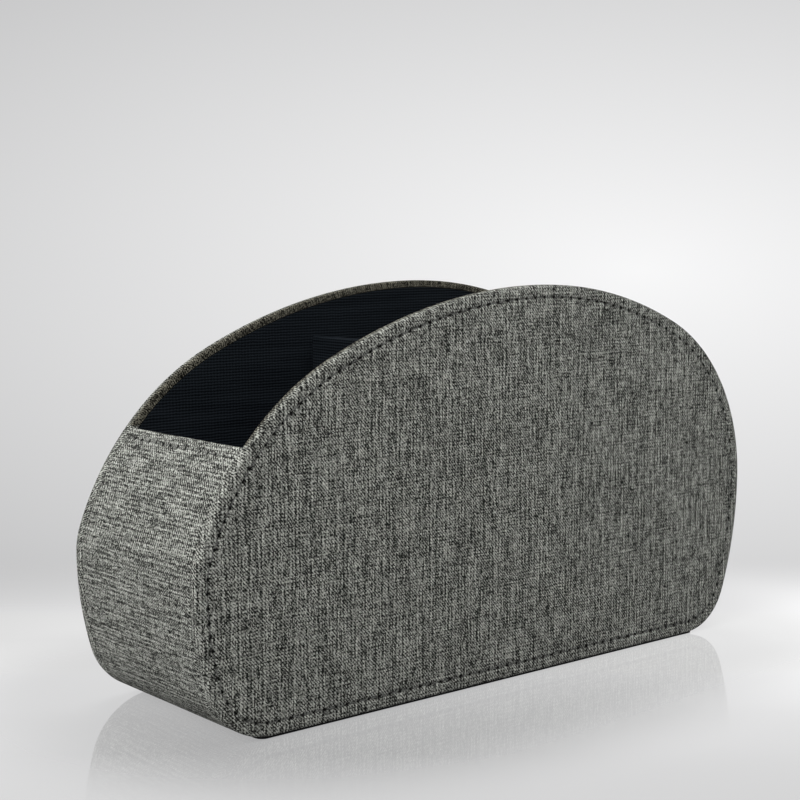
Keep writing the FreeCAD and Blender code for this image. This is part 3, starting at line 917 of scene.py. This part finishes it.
mouth_holes, mouth_stitches = [], []
pitch = 2 * PANEL_INSIDE / HOLES_ACROSS
for centre, radius, mouth, turn in MOUTHS:
    angle = mouth + turn * MOUTH_SEAM / radius
    spot = swing(centre, radius - SEAM_SUNK, angle)
    for number in range(HOLES_ACROSS):
        hole = holder_point(spot.x, (number + 0.5) * pitch - PANEL_INSIDE, spot.y)
        mouth_holes.append(hole)
        if number:
            lean = math.pi / 2 - angle
            mouth_stitches.append(
                Matrix.Translation(hole - Vector((0, pitch / 2 * MM, 0)))
                @ Matrix.Rotation(lean, 4, 'Y') @ Matrix.Rotation(math.pi / 2, 4, 'Z')
                @ Matrix.Rotation(-math.pi / 2, 4, 'X')
                @ Matrix.Translation((0, -STITCH_LIFT * MM, 0)))
prick(end_cover, mouth_holes, MOUTH_HOLE_DEPTH, Vector((0, 0, -1)))
end_cover.data.materials.append(grey_cloth)
thicken(end_cover, END_CLOTH)
settle(end_cover, "end_cloth", "grey_cloth", "end_cover")
sew(stitch, mouth_stitches, "mouth_seams")
bpy.data.objects.remove(stitch)


# Black lining. A thin black ribbed cloth glued to the inner faces of the panels, and one
# strip of it down the low end, along the floor and up the high end, below the folded edges.

LINING_CLOTH = 0.5
LINING_INSET = 2.5
LINING_GAP = 0.35
LINING_PLAY = 0.1
RIB_PITCH = 0.95
LINE_PITCH = 1.22
RIB_RELIEF = 0.12
LINING_DARK = (0.0013, 0.0017, 0.0023, 1)
LINING_LIGHT = (0.0120, 0.0150, 0.0185, 1)


def black_ribbed_cloth():
    """Black lining cloth with ribs across it and finer lines up it."""
    w = ClothWiring("black_lining_cloth", 0.9, 0.03)
    place = w.cloth_place("flat_lining")
    x, y, _ = w.split(place)
    sway = w.cloud(place, 0.3, 2)
    rib = w.math('SINE', w.math('MULTIPLY', w.math('ADD', y, w.math('MULTIPLY', sway, 0.5)),
                                2 * math.pi / RIB_PITCH))
    line = w.math('SINE', w.math('MULTIPLY', w.math('ADD', x, w.math('MULTIPLY', sway, 0.4)),
                                 2 * math.pi / LINE_PITCH))
    band = w.cloud(w.point(w.math('MULTIPLY', x, 0.03), w.math('MULTIPLY', y, 0.35)), 1.0, 2)
    fibre = w.cloud(place, 2.6, 2, 0.7)
    # Painted light and shade: the colour follows the rib height, lighter on the crests and darker
    # in the hollows, with random fibre and band tone on top.
    height = w.math('ADD', w.math('MULTIPLY', rib, 0.5), w.math('MULTIPLY', line, 0.2))
    height = w.math('ADD', height, w.math('MULTIPLY', fibre, 0.5))
    share = w.math('ADD', w.math('MULTIPLY', height, 0.55), w.spread(band, 0.3, 0.7, 0.15, 0.35))
    w.put(w.surface.inputs["Base Color"], w.blend(share, LINING_DARK, LINING_LIGHT))
    w.raise_by(height, RIB_RELIEF)
    return w.material


def turn_lining(piece):
    """Turns the lining cloth of a strip, so that its ribs run across the holder."""
    for corner in piece.data.uv_layers["flat_lining"].data:
        corner.uv = (corner.uv[1], corner.uv[0])


black_lining = black_ribbed_cloth()
front_lining = draw_egg(LINING_INSET, -PANEL_INSIDE - LINING_CLOTH, 1.0)
bpy.ops.mesh.extrude_region_move(TRANSFORM_OT_translate={"value": (0, LINING_CLOTH * MM, 0)})
bpy.ops.mesh.select_all(action='SELECT')
bpy.ops.mesh.normals_make_consistent(inside=False)
pick(front_lining, 'EDGE', egg_ring(-PANEL_INSIDE))
bpy.ops.mesh.bevel(offset=0.2 * MM, segments=2, affect='EDGES')
bpy.ops.object.mode_set(mode='OBJECT')
cloth = front_lining.data.uv_layers.new(name="flat_lining")
for loop in front_lining.data.loops:
    place = front_lining.data.vertices[loop.vertex_index].co
    cloth.data[loop.index].uv = (place.x / MM / 100, place.z / MM / 100)
front_lining.data.materials.append(black_lining)
rear_lining = twin(front_lining)
face_backwards(rear_lining)
for lining, side in ((front_lining, "front"), (rear_lining, "rear")):
    settle(lining, side + "_panel_lining_cloth", "black_lining", side + "_panel_lining")

below_low = LOW_MOUTH + (MOUTH_ROUND + MOUTH_TURN + LINING_GAP) / (low_radius - END_WALL)
below_high = HIGH_MOUTH - (MOUTH_ROUND + MOUTH_TURN + LINING_GAP) / (high_radius - END_WALL)
start = swing(low_centre, low_radius - END_WALL, below_low)
end_lining = start_edge(start.x, LINING_PLAY - PANEL_INSIDE, start.y)
draw_under(below_low, below_high, END_WALL)
strip_spots = run_across(end_lining, 12, PANEL_INSIDE - LINING_PLAY)
lay_strip_cloth(end_lining, strip_spots, "flat_lining")
turn_lining(end_lining)
end_lining.data.materials.append(black_lining)
thicken(end_lining, LINING_CLOTH)
settle(end_lining, "end_lining_cloth", "black_lining", "end_lining")


# Dividers. Four thin boards across the holder, each with the black lining cloth folded over
# its top edge and glued down both faces. The first is low and the others reach the rim.

DIVIDER_CLOTH = 0.5
DIVIDER_ROUND = 1.2
DIVIDER_PLAY = 0.15
DIVIDERS = (1, 2, 3, 4)
tall = max((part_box("divider_cover_%d" % number) for number in DIVIDERS),
           key=lambda ends: ends[1].z)
wide = (tall[1].x - tall[0].x) / MM
middle = (tall[0].x + tall[1].x) / 2 / MM + OUTLINE["length"] / 2
bottom, top = tall[0].z / MM - FOOT, tall[1].z / MM - FOOT
divider = start_edge(middle - wide / 2, DIVIDER_PLAY - PANEL_INSIDE, bottom)
draw_line(0, top - DIVIDER_ROUND - bottom, 30)
draw_arc(Vector((middle - wide / 2 + DIVIDER_ROUND, top - DIVIDER_ROUND)), DIVIDER_ROUND,
         math.pi, math.pi / 2, 0.3)
draw_line(wide - 2 * DIVIDER_ROUND, 0)
draw_arc(Vector((middle + wide / 2 - DIVIDER_ROUND, top - DIVIDER_ROUND)), DIVIDER_ROUND,
         math.pi / 2, 0, 0.3)
draw_line(0, bottom + DIVIDER_ROUND - top, 30)
strip_spots = run_across(divider, 24, PANEL_INSIDE - DIVIDER_PLAY)
lay_strip_cloth(divider, strip_spots, "flat_lining")
turn_lining(divider)
divider.data.materials.append(black_lining)
for number in DIVIDERS:
    low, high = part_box("divider_cover_%d" % number)
    cover = divider.copy()
    cover.data = divider.data.copy()
    bpy.context.collection.objects.link(cover)
    take_up(cover)
    bpy.ops.object.mode_set(mode='EDIT')
    bpy.ops.mesh.select_all(action='SELECT')
    bpy.ops.transform.translate(value=((low.x + high.x) / 2 - (tall[0].x + tall[1].x) / 2, 0,
                                       high.z - tall[1].z))
    pick(cover, 'VERT', lambda vertex: vertex.co.z < low.z)
    bpy.ops.mesh.delete(type='VERT')
    thicken(cover, DIVIDER_CLOTH)
    settle(cover, "divider_cloth_%d" % number, "black_lining", "divider_cover_%d" % number)
bpy.data.objects.remove(divider)


# Base sheet. Thin black felt glued under the floor, which the holder stands on. Its corners are
# cut round.

FELT_CORNER = 3
FELT_EDGE = 0.25


def black_felt():
    """Pressed black felt with a short nap."""
    w = ClothWiring("black_felt", 0.95)
    place = w.nodes.new("ShaderNodeTexCoord").outputs["Object"]
    nap = w.cloud(place, 2600.0, 3, 0.7)
    patch = w.cloud(place, 60.0, 2)
    share = w.math('ADD', w.math('MULTIPLY', nap, 0.7), w.math('MULTIPLY', patch, 0.3))
    w.put(w.surface.inputs["Base Color"],
          w.blend(share, (0.004, 0.004, 0.0045, 1), (0.022, 0.022, 0.024, 1)))
    w.raise_by(nap, 0.15)
    return w.material


low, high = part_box("base_sheet")
bpy.ops.object.select_all(action='DESELECT')
bpy.ops.mesh.primitive_plane_add(size=1)
base = bpy.context.object
bpy.ops.object.mode_set(mode='EDIT')
bpy.ops.mesh.select_mode(type='VERT')
bpy.ops.mesh.select_all(action='SELECT')
bpy.ops.transform.resize(value=(high.x - low.x, high.y - low.y, 1))
bpy.ops.transform.translate(value=((low.x + high.x) / 2, (low.y + high.y) / 2, low.z))
bpy.ops.mesh.bevel(offset=FELT_CORNER * MM, segments=6, affect='VERTICES')
bpy.ops.mesh.select_all(action='SELECT')
bpy.ops.mesh.extrude_region_move(TRANSFORM_OT_translate={"value": (0, 0, high.z - low.z)})
bpy.ops.mesh.select_all(action='SELECT')
bpy.ops.mesh.normals_make_consistent(inside=False)
pick(base, 'EDGE', lambda edge: abs(edge.verts[0].co.z - edge.verts[1].co.z) < 0.01 * MM)
bpy.ops.mesh.bevel(offset=FELT_EDGE * MM, segments=2, affect='EDGES')
bpy.ops.object.mode_set(mode='OBJECT')
base.data.materials.append(black_felt())
settle(base, "base_felt", "base_cloth", "base_sheet")


# Boards. Grey pressed board, hidden in the cloth. It shows only as a thin line where the
# turned edges and the lining don't quite meet.

def pressed_board():
    """Grey board with flecks of fibre."""
    w = ClothWiring("pressed_board", 0.9)
    place = w.nodes.new("ShaderNodeTexCoord").outputs["Object"]
    fleck = w.cloud(place, 1500.0, 3, 0.7)
    patch = w.cloud(place, 120.0, 2)
    share = w.math('ADD', w.math('MULTIPLY', fleck, 0.6), w.math('MULTIPLY', patch, 0.4))
    w.put(w.surface.inputs["Base Color"],
          w.blend(share, (0.05, 0.045, 0.035, 1), (0.16, 0.145, 0.115, 1)))
    w.raise_by(fleck, 0.08)
    return w.material


board = pressed_board()
for name in ["front_panel_board", "rear_panel_board", "low_end_board", "floor_board",
             "high_end_board"] + ["divider_board_%d" % number for number in DIVIDERS]:
    for place in bpy.data.objects[name].material_slots:
        place.material = board
